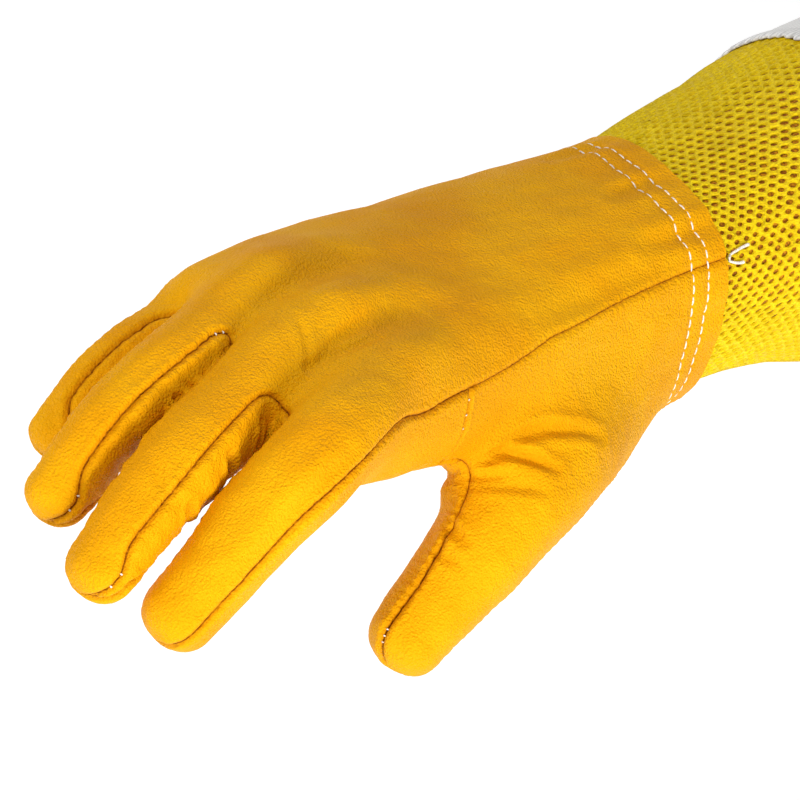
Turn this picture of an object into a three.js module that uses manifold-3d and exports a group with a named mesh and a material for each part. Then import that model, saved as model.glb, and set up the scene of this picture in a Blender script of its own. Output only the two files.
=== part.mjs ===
// A right-hand beekeeping glove in its worn shape: a goatskin hand, a ventilated spacer-mesh wrist
// section and a cotton canvas sleeve with an elastic hem.
//
// Millimetres, +Z up (back of the hand), +X from the elbow end towards the fingertips, +Y to the thumb
// side. The origin is the centre of the sleeve's open elbow end.
//
// Every panel is a curved slab cut from a tube ("limb") that follows a smooth line and has a rounded
// section. Round a section, 0 degrees is the thumb side, 90 the back of the hand, 180 the little-finger
// side and 270 the palm. The leather flexes at hinge lines, so each panel that crosses one is split there:
// the far part is a little narrower, and its near edge tucks inside the near part as the joint folds.
import * as THREE from "three";
import { mergeVertices } from "three/addons/utils/BufferGeometryUtils.js";
import Module from "manifold-3d";

// ---- driving dimensions ----
const LEATHER = 1.2; // thickness of the goatskin
const CANVAS = 1.0; // thickness of the sleeve cloth
const MESH_FACE = 1.1; // thickness of the spacer mesh's open outer face
const MESH_LINING = 0.8; // thickness of its inner face
const THREAD = 0.7; // thickness of the stitching
const GAP = 0.35; // clearance kept between neighbouring pieces
const TUCK = 2.0; // how much narrower the far side of a hinge line is
const TONGUE = 0.8; // clearance along the limb between the two sides of a hinge line
const DOME = 11; // length of a fingertip's dome
const DOME_TURN = 0.84; // how far the dome closes, as a share of a right angle
const SQUARENESS = 0.86; // below 1 the sections are a little squarer than an ellipse

const HEM = 24; // depth of the elastic hem
const MESH_END = 135; // where the canvas sleeve ends and the mesh section begins
const MESH_LAP = 8; // how far the canvas lies under the mesh
const CUFF_EDGE = 225; // the leather's raw edge over the mesh
const CUFF_LAP = 16; // length of mesh that lies under the leather
const STITCH_ROWS = { cuff_stitch_rear: 8.5, cuff_stitch_front: 15.5 }; // from the leather's edge
const SEAM_HALF_WIDTH = 5; // of the seams inside the sleeve, in degrees

// Largest bend each way from rest, in degrees. The slant of a line is how far it runs ahead on the
// thumb side, in millimetres.
const BENDS = {
  wrist: { flex: 40, extend: 30 },
  knuckles: { flex: 40, extend: 15, slant: 7 },
  finger: { flex: 45, extend: 25 },
  thumb: { flex: 40, extend: 10 },
};

// Each station: the middle of the section, its half width across the hand and its half thickness.
const ARM_LINE = [
  { at: [0, 0, 0], a: 48, b: 46 },
  { at: [30, 0, 0], a: 56, b: 53 },
  { at: [80, 0, 0], a: 62, b: 57 },
  { at: [MESH_END, 0, 0], a: 61, b: 53 },
  { at: [185, 0, 0], a: 51, b: 44.5 },
  { at: [CUFF_EDGE, 0, 0], a: 42.5, b: 37.5 },
  { name: "wrist", at: [270, 4, 1.5], a: 42, b: 32 },
  { at: [310, 10, 5], a: 44, b: 26.5 },
  { at: [350, 16, 11], a: 46, b: 20.5 },
  { name: "knuckles", at: [384, 22, 15.5], a: 45.5, b: 17 },
  { at: [410, 28, 14.5], a: 45, b: 14 },
];
const THUMB_LINE = [
  { at: [272, 25, -9], a: 23, b: 21 },
  { at: [296, 46, -12], a: 24, b: 21 },
  { at: [318, 62, -17], a: 21, b: 18.5 },
  { name: "joint", at: [336, 71.5, -32], a: 17.5, b: 15.5 },
  { at: [352, 78, -50], a: 15, b: 13.5 },
  { at: [368, 82, -68], a: 12, b: 11 },
];
// Seams run along each finger at these places round its section; root is the bare length to the web.
const OUTER_FINGER_SEAMS = { back: [28, 152], side_thumb: [-28, 28], side_outer: [152, 208], front: [208, 332] };
const FINGERS = {
  index: {
    root: 23,
    line: [
      { at: [379, 52, 18], a: 11.8, b: 14 },
      { name: "joint", at: [422, 74, 21], a: 12.6, b: 12 },
      { at: [447, 80.5, 2], a: 11.4, b: 10.8 },
      { at: [473, 86, -27], a: 9.6, b: 9 },
    ],
    panels: { back: [28, 152], side_outer: [152, 208], front: [208, 388] },
  },
  middle: {
    root: 22,
    line: [
      { at: [390.5, 29.5, 21], a: 10.1, b: 13 },
      { name: "joint", at: [441.5, 49.5, 12.5], a: 11, b: 11.8 },
      { at: [467, 59.5, 0], a: 11, b: 10.8 },
      { at: [491, 68.5, -23.5], a: 9.8, b: 9 },
    ],
    panels: OUTER_FINGER_SEAMS,
  },
  ring: {
    root: 20,
    line: [
      { at: [388, 7.5, 17], a: 9.4, b: 13 },
      { name: "joint", at: [436, 24.5, 14], a: 10.2, b: 11.4 },
      { at: [462, 32, 4], a: 10.4, b: 10.4 },
      { at: [485, 40, -20.5], a: 9.2, b: 8.6 },
    ],
    panels: OUTER_FINGER_SEAMS,
  },
  little: {
    root: 24.5,
    line: [
      { at: [382.5, -13, 9], a: 9.2, b: 12 },
      { name: "joint", at: [421, -4, 7], a: 10.2, b: 10.2 },
      { at: [440.5, 0.5, -2], a: 9.8, b: 9.2 },
      { at: [460, 7, -23], a: 8.4, b: 7.8 },
    ],
    panels: { back: [28, 152], front: [152, 332], side_thumb: [332, 388] },
  },
};
const WEB_SLANT = 9; // the webs of the fingers run ahead by this much on the thumb side
const HAND_UP = [-0.1, -0.07, 1]; // the way the back of the hand faces
const THUMB_UP = [0.62, 0.5, 0.6]; // the way the back of the thumb faces

const COLOURS = {
  leather: 0xf2a80c,
  mesh: 0xe9cf1c,
  lining: 0xa8641a,
  canvas: 0xe9e7e2,
  thread: 0xf4f0e6,
  elastic: 0xf7f6f2,
};

const wasm = await Module();
wasm.setup();
const { clamp, degToRad, lerp, radToDeg } = THREE.MathUtils;
const vector = (p) => new THREE.Vector3(...p);

// ---- limbs ----
// A limb is a smooth line with a rounded section that changes along it. Distances are in millimetres
// along the line, and a fingertip closes in a dome over the last stretch.
function makeLimb(stations, up, dome = 0) {
  const divisions = 400;
  const curve = new THREE.CatmullRomCurve3(
    stations.map((station) => vector(station.at)),
    false,
    "centripetal",
  );
  curve.arcLengthDivisions = divisions;
  const length = curve.getLength();
  const lengths = curve.getLengths();
  const last = stations.length - 1;
  const marks = stations.map((_, i) => lengths[Math.round((i / last) * divisions)]);
  const upward = vector(up).normalize();

  function halves(s) {
    let i = 0;
    while (i < last - 1 && s > marks[i + 1]) i += 1;
    const t = clamp((s - marks[i]) / (marks[i + 1] - marks[i]), 0, 1);
    return {
      a: lerp(stations[i].a, stations[i + 1].a, t),
      b: lerp(stations[i].b, stations[i + 1].b, t),
    };
  }

  function frame(s) {
    const u = clamp(s / length, 0, 1);
    const along = curve.getTangentAt(u);
    const side = new THREE.Vector3().crossVectors(upward, along).normalize();
    const top = new THREE.Vector3().crossVectors(along, side).normalize();
    return { at: curve.getPointAt(u), along, side, top };
  }

  const domeTurn = (s) =>
    dome > 0 && s > length - dome ? ((s - length + dome) / dome) * DOME_TURN * (Math.PI / 2) : 0;

  // The point at distance s along and angle degrees round, inset below the limb's skin.
  function point(s, angle, inset) {
    const turn = domeTurn(s);
    const reach = turn > 0 ? length - dome + (dome - inset) * Math.sin(turn) : s;
    const { at, side, top } = frame(reach);
    const { a, b } = halves(reach);
    const c = Math.cos(degToRad(angle));
    const d = Math.sin(degToRad(angle));
    const across = Math.sign(c) * Math.abs(c) ** SQUARENESS * (a - inset) * Math.cos(turn);
    const high = Math.sign(d) * Math.abs(d) ** SQUARENESS * (b - inset) * Math.cos(turn);
    return at.clone().addScaledVector(side, across).addScaledVector(top, high);
  }

  // Half the clearance between two panels there, in degrees round the section.
  function spare(s) {
    const { a, b } = halves(s);
    return radToDeg(GAP / 2 / (Math.min(a, b) * Math.cos(domeTurn(s))));
  }

  const mark = (name) => marks[stations.findIndex((station) => station.name === name)];
  return { length, halves, frame, point, spare, mark };
}

// ---- closed solids from grids of points ----
function steps(from, to, count) {
  return Array.from({ length: count + 1 }, (_, i) => lerp(from, to, i / count));
}

function geometryOf(points, faces) {
  const geometry = new THREE.BufferGeometry();
  const positions = points.flatMap((p) => [p.x, p.y, p.z]);
  geometry.setAttribute("position", new THREE.Float32BufferAttribute(positions, 3));
  geometry.setIndex(faces.flatMap(([a, b, c, d]) => (d === undefined ? [a, b, c] : [a, b, c, a, c, d])));
  return outward(geometry);
}

// Turns the faces round if they point inwards.
function outward(geometry) {
  const position = geometry.getAttribute("position");
  const order = geometry.index.array;
  const corners = [0, 1, 2].map(() => new THREE.Vector3());
  let volume = 0;
  for (let i = 0; i < order.length; i += 3) {
    corners.forEach((corner, k) => corner.fromBufferAttribute(position, order[i + k]));
    volume += corners[0].dot(corners[1].clone().cross(corners[2]));
  }
  if (volume < 0) {
    for (let i = 0; i < order.length; i += 3) {
      [order[i], order[i + 1]] = [order[i + 1], order[i]];
    }
  }
  return geometry;
}

// An end may be a function of the angle, so that it slants round the limb.
const edge = (end, angle) => (typeof end === "function" ? end(angle) : end);

// A curved slab of a limb.
function panel(limb, { from, to, angles, skin = 0, thick = LEATHER, rows = 6, columns = 4 }) {
  const points = [];
  for (const inset of [skin, skin + thick]) {
    for (let i = 0; i <= rows; i += 1) {
      for (let j = 0; j <= columns; j += 1) {
        const nominal = lerp(angles[0], angles[1], j / columns);
        const s = lerp(edge(from, nominal), edge(to, nominal), i / rows);
        const spare = limb.spare(s);
        const angle = lerp(angles[0] + spare, angles[1] - spare, j / columns);
        points.push(limb.point(s, angle, inset));
      }
    }
  }
  const index = (layer, i, j) => (layer * (rows + 1) + i) * (columns + 1) + j;
  const faces = [];
  for (let i = 0; i < rows; i += 1) {
    for (let j = 0; j < columns; j += 1) {
      faces.push([index(0, i, j), index(0, i + 1, j), index(0, i + 1, j + 1), index(0, i, j + 1)]);
      faces.push([index(1, i, j), index(1, i, j + 1), index(1, i + 1, j + 1), index(1, i + 1, j)]);
    }
    const k = columns;
    faces.push([index(0, i, 0), index(1, i, 0), index(1, i + 1, 0), index(0, i + 1, 0)]);
    faces.push([index(0, i, k), index(0, i + 1, k), index(1, i + 1, k), index(1, i, k)]);
  }
  for (let j = 0; j < columns; j += 1) {
    const k = rows;
    faces.push([index(0, 0, j), index(0, 0, j + 1), index(1, 0, j + 1), index(1, 0, j)]);
    faces.push([index(0, k, j), index(1, k, j), index(1, k, j + 1), index(0, k, j + 1)]);
  }
  return geometryOf(points, faces);
}

// A closed ring round a limb, from the [distance along, inset] corners of its cross-section.
function ring(limb, corners, around = 36) {
  const angles = steps(0, 360, around).slice(0, around);
  const points = corners.flatMap(([s, inset]) => angles.map((angle) => limb.point(s, angle, inset)));
  const faces = [];
  corners.forEach((_, i) => {
    const next = (i + 1) % corners.length;
    angles.forEach((_angle, j) => {
      const k = (j + 1) % around;
      faces.push([i * around + j, next * around + j, next * around + k, i * around + k]);
    });
  });
  return geometryOf(points, faces);
}

// A length of cloth tube round a limb, with a ring of corners at each stop.
function tube(limb, stops, skin, thick) {
  const outer = stops.map((s) => [s, skin]);
  const inner = stops.toReversed().map((s) => [s, skin + thick]);
  return ring(limb, [...outer, ...inner]);
}

// A stretch of a limb as a solid bar, grown by a clearance, to trim its neighbours with.
function bar(limb, from, to, grow) {
  const rows = 12;
  const around = 24;
  const angles = steps(0, 360, around).slice(0, around);
  const points = steps(0, 1, rows).flatMap((t) =>
    angles.map((angle) => limb.point(lerp(from, edge(to, angle), t), angle, -grow)),
  );
  const hub = points.length;
  points.push(limb.frame(from).at, limb.frame(edge(to, 0)).at);
  const faces = [];
  angles.forEach((_, j) => {
    const k = (j + 1) % around;
    for (let i = 0; i < rows; i += 1) {
      faces.push([i * around + j, (i + 1) * around + j, (i + 1) * around + k, i * around + k]);
    }
    faces.push([hub, j, k]);
    faces.push([hub + 1, rows * around + k, rows * around + j]);
  });
  return geometryOf(points, faces);
}

function solidOf(geometry) {
  const merged = mergeVertices(geometry);
  return new wasm.Manifold(
    new wasm.Mesh({
      numProp: 3,
      vertProperties: new Float32Array(merged.attributes.position.array),
      triVerts: new Uint32Array(merged.index.array),
    }),
  );
}

// The largest body of a solid, as a geometry: trimming can leave crumbs.
function geometryFrom(solid) {
  const [body] = solid.decompose().sort((p, q) => q.volume() - p.volume());
  const { vertProperties, triVerts } = body.getMesh();
  const geometry = new THREE.BufferGeometry();
  geometry.setAttribute("position", new THREE.BufferAttribute(vertProperties, 3));
  geometry.setIndex(new THREE.BufferAttribute(triVerts, 1));
  return geometry;
}

// ---- hinge lines ----
// The near side's edge is set back from the line by what the far side sweeps as it folds.
function hingeEdges(limb, line, { flex, extend, slant = 0 }) {
  const { b } = limb.halves(line);
  const edge = (angle) => {
    const height = Math.sin(degToRad(angle));
    const bend = height < 0 ? flex : extend;
    const setback = TONGUE + b * Math.abs(height) * Math.tan(degToRad(bend / 2));
    return line + slant * Math.cos(degToRad(angle)) - setback;
  };
  return { near: (angle) => edge(angle) - TONGUE / 2, far: (angle) => edge(angle) + TONGUE / 2 };
}

// ---- the glove ----
const glove = new THREE.Group();

function addPiece(name, geometry, colour, roughness) {
  const material = new THREE.MeshStandardMaterial({ color: colour, roughness, metalness: 0 });
  const mesh = new THREE.Mesh(geometry, material);
  mesh.name = name;
  glove.add(mesh);
}
const addLeather = (name, geometry) => addPiece(name, geometry, COLOURS.leather, 0.55);

// The canvas tube, folded back inside itself over the elastic at the elbow end.
function buildCanvas(arm) {
  const outside = 3.2; // the canvas lies this far inside the mesh's line
  const inside = outside + CANVAS;
  const turnedIn = outside + 3.4;
  const body = steps(MESH_END + MESH_LAP, HEM, 4);
  const profile = [
    ...body.map((s) => [s, outside]),
    [0, outside],
    [0, turnedIn],
    [HEM, turnedIn],
    [HEM, turnedIn - CANVAS],
    [CANVAS, turnedIn - CANVAS],
    [CANVAS, inside],
    ...body.toReversed().map((s) => [s, inside]),
  ];
  addPiece("canvas_sleeve", ring(arm, profile), COLOURS.canvas, 0.9);
  const elastic = tube(arm, [2, HEM / 2, HEM - 3], inside + 0.3, 0.8);
  addPiece("elastic_band", elastic, COLOURS.elastic, 0.8);
  const seam = {
    from: HEM + 3,
    to: MESH_END + MESH_LAP - 1,
    angles: [270 - SEAM_HALF_WIDTH, 270 + SEAM_HALF_WIDTH],
    skin: inside + 2 * GAP,
    thick: CANVAS,
    rows: 8,
    columns: 2,
  };
  addPiece("canvas_side_seam", panel(arm, seam), COLOURS.canvas, 0.9);
}

function buildMesh(arm) {
  const face = 1.8; // the mesh lies this far inside the leather's line
  const lining = face + MESH_FACE + GAP;
  const start = MESH_END + MESH_LAP + 1;
  const end = CUFF_EDGE + CUFF_LAP;
  const outer = tube(arm, [...steps(MESH_END, CUFF_EDGE, 4), end], face, MESH_FACE);
  const inner = tube(arm, [...steps(start, CUFF_EDGE, 4), end], lining, MESH_LINING);
  addPiece("mesh_outer_layer", outer, COLOURS.mesh, 0.8);
  addPiece("mesh_inner_layer", inner, COLOURS.lining, 0.8);
  const seam = {
    from: start + 1,
    to: end - 1,
    angles: [270 - SEAM_HALF_WIDTH, 270 + SEAM_HALF_WIDTH],
    skin: lining + MESH_LINING + 2 * GAP,
    thick: 1,
    columns: 2,
  };
  addPiece("mesh_side_seam", panel(arm, seam), COLOURS.lining, 0.8);
  const binding = tube(arm, [MESH_END - 4, MESH_END, MESH_END + 4], 0.2, 1.2);
  addPiece("mesh_edge_binding", binding, COLOURS.thread, 0.8);
}

// Back and palm panels from the leather's edge to the webs of the fingers.
function buildHand(arm, thumb) {
  const wrist = hingeEdges(arm, arm.mark("wrist"), BENDS.wrist);
  const knuckles = hingeEdges(arm, arm.mark("knuckles"), BENDS.knuckles);
  const webs = (angle) => arm.length - 7 + WEB_SLANT * Math.cos(degToRad(angle));
  const thumbSeam = { cuff: 42, hand: 30, row: 14 };
  const outerSeam = { cuff: 192, hand: 190, row: 176 };
  const sectors = (part) => ({
    back: [thumbSeam[part], outerSeam[part]],
    palm: [outerSeam[part], 360 + thumbSeam[part]],
  });
  const thumbBar = solidOf(bar(thumb, 3, thumb.length, GAP));
  for (const side of ["back", "palm"]) {
    const cuff = { from: CUFF_EDGE, to: wrist.near, angles: sectors("cuff")[side], rows: 4, columns: 18 };
    const hand = {
      from: wrist.far,
      to: knuckles.near,
      angles: sectors("hand")[side],
      skin: TUCK,
      rows: 8,
      columns: 10,
    };
    const row = { from: knuckles.far, to: webs, angles: sectors("row")[side], skin: 2 * TUCK, columns: 9 };
    addLeather(`cuff_${side}`, panel(arm, cuff));
    addLeather(`hand_${side}`, geometryFrom(solidOf(panel(arm, hand)).subtract(thumbBar)));
    addLeather(`knuckle_row_${side}`, panel(arm, { ...row, rows: 4 }));
  }
}

// The space that the cuff's palm side reaches into, seen from the hand, as the wrist bends.
function cuffSweep(arm) {
  const wrist = arm.mark("wrist");
  const { at, side } = arm.frame(wrist);
  const cuff = bar(arm, CUFF_EDGE, hingeEdges(arm, wrist, BENDS.wrist).far, 3 * GAP);
  const turned = steps(-BENDS.wrist.extend, BENDS.wrist.flex, 14).map((bend) => {
    const turn = new THREE.Matrix4().makeRotationAxis(side, degToRad(-bend));
    const there = new THREE.Matrix4().makeTranslation(at);
    const back = new THREE.Matrix4().makeTranslation(at.clone().negate());
    return solidOf(cuff.clone().applyMatrix4(there.multiply(turn).multiply(back)));
  });
  return turned.reduce((sum, solid) => sum.add(solid));
}

// The thumb's root stands on the hand, which is open where it enters.
function buildThumb(arm, thumb) {
  const joint = hingeEdges(thumb, thumb.mark("joint"), BENDS.thumb);
  const handBar = solidOf(bar(arm, arm.mark("wrist") - 4, arm.length, GAP - TUCK));
  const inTheWay = handBar.add(cuffSweep(arm));
  const halves = { outer: [-12, 168], inner: [168, 348] };
  for (const [half, angles] of Object.entries(halves)) {
    const root = panel(thumb, { from: 4, to: joint.near, angles, rows: 7, columns: 8 });
    addLeather(`thumb_root_${half}`, geometryFrom(solidOf(root).subtract(inTheWay)));
    const stall = { from: joint.far, to: thumb.length, angles, skin: TUCK, rows: 9, columns: 7 };
    addLeather(`thumb_${half}`, panel(thumb, stall));
  }
}

function buildFinger(name, { root, line, panels }) {
  const finger = makeLimb(line, HAND_UP, DOME);
  const joint = hingeEdges(finger, finger.mark("joint"), BENDS.finger);
  for (const [side, angles] of Object.entries(panels)) {
    const columns = Math.round((angles[1] - angles[0]) / 28);
    const near = { from: root, to: joint.near, angles, columns, rows: 3 };
    const far = { from: joint.far, to: finger.length, angles, skin: TUCK, columns, rows: 8 };
    addLeather(`${name}_${side}_near`, panel(finger, near));
    addLeather(`${name}_${side}_far`, panel(finger, far));
  }
}

function buildStitching(arm) {
  for (const [name, fromEdge] of Object.entries(STITCH_ROWS)) {
    const s = CUFF_EDGE + fromEdge;
    const section = [
      [s, -GAP - THREAD],
      [s + THREAD, -GAP - THREAD],
      [s + THREAD, -GAP],
      [s, -GAP],
    ];
    addPiece(name, ring(arm, section), COLOURS.thread, 0.8);
  }
}

const arm = makeLimb(ARM_LINE, HAND_UP);
const thumb = makeLimb(THUMB_LINE, THUMB_UP, DOME);
buildCanvas(arm);
buildMesh(arm);
buildHand(arm, thumb);
buildThumb(arm, thumb);
for (const [name, finger] of Object.entries(FINGERS)) buildFinger(name, finger);
buildStitching(arm);

export default glove;
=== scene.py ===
"""A right-hand beekeeping glove in its worn shape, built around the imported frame.

Lengths are in millimetres while a surface is worked out, and become metres when a mesh is made. The row
frame has +X towards the fingertips, +Y towards the thumb and +Z towards the back of the hand.
"""

import math

import bpy
import numpy as np
import openvdb
from mathutils import Matrix, Vector, kdtree, noise
from mathutils.bvhtree import BVHTree

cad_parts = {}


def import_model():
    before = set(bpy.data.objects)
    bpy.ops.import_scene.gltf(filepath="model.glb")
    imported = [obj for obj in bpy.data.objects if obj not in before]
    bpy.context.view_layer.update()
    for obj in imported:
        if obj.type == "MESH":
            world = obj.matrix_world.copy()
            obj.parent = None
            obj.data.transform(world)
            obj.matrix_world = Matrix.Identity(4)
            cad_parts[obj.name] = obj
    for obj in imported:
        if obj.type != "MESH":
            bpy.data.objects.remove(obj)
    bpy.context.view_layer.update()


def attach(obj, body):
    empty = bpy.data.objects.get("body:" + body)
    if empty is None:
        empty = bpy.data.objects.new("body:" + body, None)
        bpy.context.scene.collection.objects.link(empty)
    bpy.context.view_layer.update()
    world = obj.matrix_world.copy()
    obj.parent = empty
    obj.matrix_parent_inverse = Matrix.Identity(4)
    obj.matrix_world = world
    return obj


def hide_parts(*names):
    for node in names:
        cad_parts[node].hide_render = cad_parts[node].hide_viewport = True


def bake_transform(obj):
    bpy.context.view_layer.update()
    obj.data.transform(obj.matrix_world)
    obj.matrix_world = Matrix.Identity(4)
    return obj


MM = 0.001
LEATHER = 1.2  # thickness of the goatskin
CUFF_EDGE = 225.0  # where the leather ends, along X
CELL = 1.7  # size of the grid that the leather surface is drawn from
MARGIN = 12.0  # how far round a limb its field is worked out
FAR = 40.0  # the field's value beyond that
BOX = ((CUFF_EDGE - 14, -50, -80.0), (500, 110, 50.0))  # the corners of the grid
BLOCK = 4  # the field is first worked out once in each block of this many cells a side
BAND = 6  # and then in every cell of the blocks this many cells from the surface
PAD_FILLET = 12.0
THUMB_FILLET = 16.0
WEB_FILLET = 7.0  # between the fingers and the palm

# A station is x, y, z, half the width across the hand, half the thickness.
ARM_STATIONS = [
    (180, 2, -2, 50, 44),
    (CUFF_EDGE, 3.5, -3, 41, 37),
    (270, 7, -2, 41, 33),
    (310, 12, 0, 43.5, 29),
    (350, 18.5, 6, 44, 24),
    (384, 26, 12, 42.5, 19.5),
    (412, 32, 11, 41, 17),
    (440, 38, 9, 41, 13),
]
FINGER_STATIONS = {
    "index": [
        (345, 40, 13, 11, 12),
        (379, 52, 17, 13, 14.5),
        (422, 74, 20, 13.2, 13),
        (447, 80.5, 1, 12.2, 11.6),
        (466.5, 84, -21, 10.4, 9.6),
    ],
    "middle": [
        (350, 24, 15, 11, 12),
        (390.5, 29.5, 20, 11.5, 13.5),
        (441.5, 49.5, 12.5, 11.6, 12.2),
        (467, 59.5, 0, 11, 11),
        (483, 65, -15.5, 9.8, 9),
    ],
    "ring": [
        (350, 4, 13, 11, 12),
        (388, 7.5, 16.5, 11, 13.5),
        (436, 24.5, 14, 10.8, 11.8),
        (462, 32, 4, 10.2, 10.6),
        (478, 37.5, -12.5, 9.3, 8.6),
    ],
    "little": [
        (350, -5, 4, 10, 11),
        (382.5, -5, 5, 9.4, 11),
        (421, 2, 3, 9.4, 9.6),
        (441, 5.5, -6, 9.1, 9),
        (454, 9, -18, 8.4, 7.8),
    ],
}
THUMB_STATIONS = [
    (248, 16, -17, 27, 23),
    (277, 37, -23, 26, 23),
    (306, 58.5, -20.5, 20.5, 19),
    (333, 73, -31.5, 15.8, 15),
    (359, 80, -57, 11.6, 10.8),
]
# The pad of the palm under the forefinger.
PAD_STATIONS = [
    (318, 28, -12, 17, 14),
    (350, 42, -5, 17, 13),
    (380, 54, 2, 15, 12),
    (402, 61, 7, 12, 10),
]
HAND_UP = (-0.1, -0.07, 1.0)
THUMB_UP = (0.62, 0.5, 0.6)
WEB_POINT = (418.0, 29.0, 20.0)  # on the front of the webs between the fingers
WEB_FACING = (0.94, -0.19, 0.28)  # the way the webs face


def unit(v):
    v = np.asarray(v, float)
    return v / np.linalg.norm(v, axis=-1, keepdims=True)


# ---- limbs ----
def catmull_rom(points, count):
    """Points along the smooth curve through the given rows, count to a span."""
    padded = np.vstack([2 * points[0] - points[1], points, 2 * points[-1] - points[-2]])
    t = np.linspace(0, 1, count, endpoint=False)[:, None]
    spans = []
    for p0, p1, p2, p3 in zip(padded, padded[1:], padded[2:], padded[3:]):
        bend = 2 * p0 - 5 * p1 + 4 * p2 - p3
        twist = 3 * p1 - p0 - 3 * p2 + p3
        spans.append(p1 + 0.5 * t * (p2 - p0 + t * (bend + t * twist)))
    return np.vstack([*spans, points[-1]])


def lengths_along(points):
    """The distance along a line of points, at each of them."""
    steps = np.linalg.norm(np.diff(points, axis=0), axis=1)
    return np.concatenate([[0], np.cumsum(steps)])


class Limb:
    """A smooth line from station to station, with a rounded section that changes along it."""

    def __init__(self, stations, up, squareness=2.3, dome=1.0):
        rows = catmull_rom(np.array(stations, float), 6)
        self.centre, self.half = rows[:, :3], rows[:, 3:]
        self.along = unit(np.gradient(self.centre, axis=0))
        self.side = unit(np.cross(up, self.along))
        self.top = np.cross(self.along, self.side)
        self.reach = lengths_along(self.centre)
        self.squareness = squareness
        self.dome = dome
        self.low = (self.centre - self.half.max(1)[:, None]).min(0) - MARGIN
        self.high = (self.centre + self.half.max(1)[:, None]).max(0) + MARGIN

    def local(self, points):
        """Each point's place: distance along, offsets (across, up, beyond the end) and half sizes there."""
        best = np.full(len(points), np.inf)
        index = np.zeros(len(points), int)
        share = np.zeros(len(points))
        for i, (start, end) in enumerate(zip(self.centre, self.centre[1:])):
            step = end - start
            t = np.clip((points - start) @ step / (step @ step), 0, 1)
            gap = ((points - start - t[:, None] * step) ** 2).sum(1)
            closer = gap < best
            best[closer] = gap[closer]
            index[closer] = i
            share[closer] = t[closer]

        def at(values):
            w = share if values.ndim == 1 else share[:, None]
            return values[index] * (1 - w) + values[index + 1] * w

        offset = points - at(self.centre)
        across = (offset * at(self.side)).sum(1)
        high = (offset * at(self.top)).sum(1)
        beyond = np.where(share == 1, np.maximum((offset * at(self.along)).sum(1), 0), 0)
        return at(self.reach), across, high, beyond, at(self.half)

    def field(self, points):
        """Roughly the distance outside the limb's skin."""
        _, across, high, beyond, half = self.local(points)
        n = self.squareness
        cap = self.dome * half.min(1)
        terms = np.abs(across / half[:, 0]) ** n + np.abs(high / half[:, 1]) ** n + (beyond / cap) ** n
        r = np.maximum(terms, 1e-6) ** (1 / n)
        length = np.sqrt(across**2 + high**2 + beyond**2)
        return np.where(r > 0.05, length * (1 - 1 / np.maximum(r, 0.05)), -half.min(1))

    def angle(self, points):
        """Degrees round the section: 0 thumb side, 90 back of the hand, 180 outer side, 270 palm."""
        _, across, high, _, half = self.local(points)
        turn = np.degrees(np.arctan2(high / half[:, 1], across / half[:, 0]))
        return np.where(turn < -90, turn + 360, turn)


def near(limb, points):
    """Which points are in the limb's box."""
    return ((points > limb.low) & (points < limb.high)).all(1)


def merged(a, b, k):
    """The smaller of two fields, with a fillet of about k where they meet."""
    h = np.maximum(k - np.abs(a - b), 0) / k
    return np.minimum(a, b) - h * h * k / 4


ARM = Limb(ARM_STATIONS, HAND_UP, squareness=2.4)
FINGERS = {name: Limb(stations, HAND_UP) for name, stations in FINGER_STATIONS.items()}
THUMB = Limb(THUMB_STATIONS, THUMB_UP)
PAD = Limb(PAD_STATIONS, HAND_UP)
LIMBS = {"arm": ARM, **FINGERS, "thumb": THUMB}


def limb_fields(points):
    """The field of each limb at each point."""
    fields = {}
    for name, limb in {**LIMBS, "pad": PAD}.items():
        values = np.full(len(points), FAR)
        inside = near(limb, points)
        values[inside] = limb.field(points[inside])
        fields[name] = values
    fields["arm"] = merged(fields["arm"], fields.pop("pad"), PAD_FILLET)
    web = (points - WEB_POINT) @ unit(WEB_FACING)
    fields["arm"] = -merged(-fields["arm"], -web, WEB_FILLET)
    return fields


def glove_field(points):
    """Roughly the distance outside the glove's smooth surface."""
    fields = limb_fields(points)
    palm = merged(fields["arm"], fields["thumb"], THUMB_FILLET)
    whole = palm
    for name in FINGERS:
        whole = np.minimum(whole, merged(palm, fields[name], WEB_FILLET))
    return whole


def field_normals(points, step=0.3):
    gradient = np.stack(
        [glove_field(points + step * axis) - glove_field(points - step * axis) for axis in np.eye(3)], axis=1
    )
    return unit(gradient)


def draw_surface(cell):
    """Points and triangles of the glove's outer surface."""
    low, high = np.array(BOX)
    shape = BLOCK * np.ceil((high - low) / cell / BLOCK).astype(int)
    axes = [low[i] + cell * np.arange(shape[i]) for i in range(3)]
    points = np.stack(np.meshgrid(*axes, indexing="ij"), -1)
    middle = slice(BLOCK // 2, None, BLOCK)
    coarse = glove_field(points[middle, middle, middle].reshape(-1, 3)).reshape(shape // BLOCK)
    values = coarse.repeat(BLOCK, 0).repeat(BLOCK, 1).repeat(BLOCK, 2)
    close = np.abs(values) < BAND * cell
    values[close] = glove_field(points[close])
    grid = openvdb.FloatGrid(FAR)
    grid.copyFromArray(values.astype(np.float32))
    corners, quads = grid.convertToQuads(0.0)
    corners = corners.astype(float) * cell + low
    quads = quads.astype(int)
    quads = quads[corners[quads][:, :, 0].min(1) > low[0] + 3 * cell]  # without the cap at the cuff
    points = settle(corners, 1)
    faces = np.vstack([quads[:, [0, 1, 2]], quads[:, [0, 2, 3]]])
    outward = (face_normals(points, faces) * field_normals(points[faces[:, 0]])).sum(1)
    return points, faces if np.median(outward) > 0 else faces[:, ::-1]


def settle(points, rounds):
    """Moves points onto the surface."""
    for _ in range(rounds):
        points = points - glove_field(points)[:, None] * field_normals(points)
    return points


def edges_of(faces):
    """The three edges of each triangle, in order."""
    return faces[:, [0, 1, 1, 2, 2, 0]].reshape(-1, 2)


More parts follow.
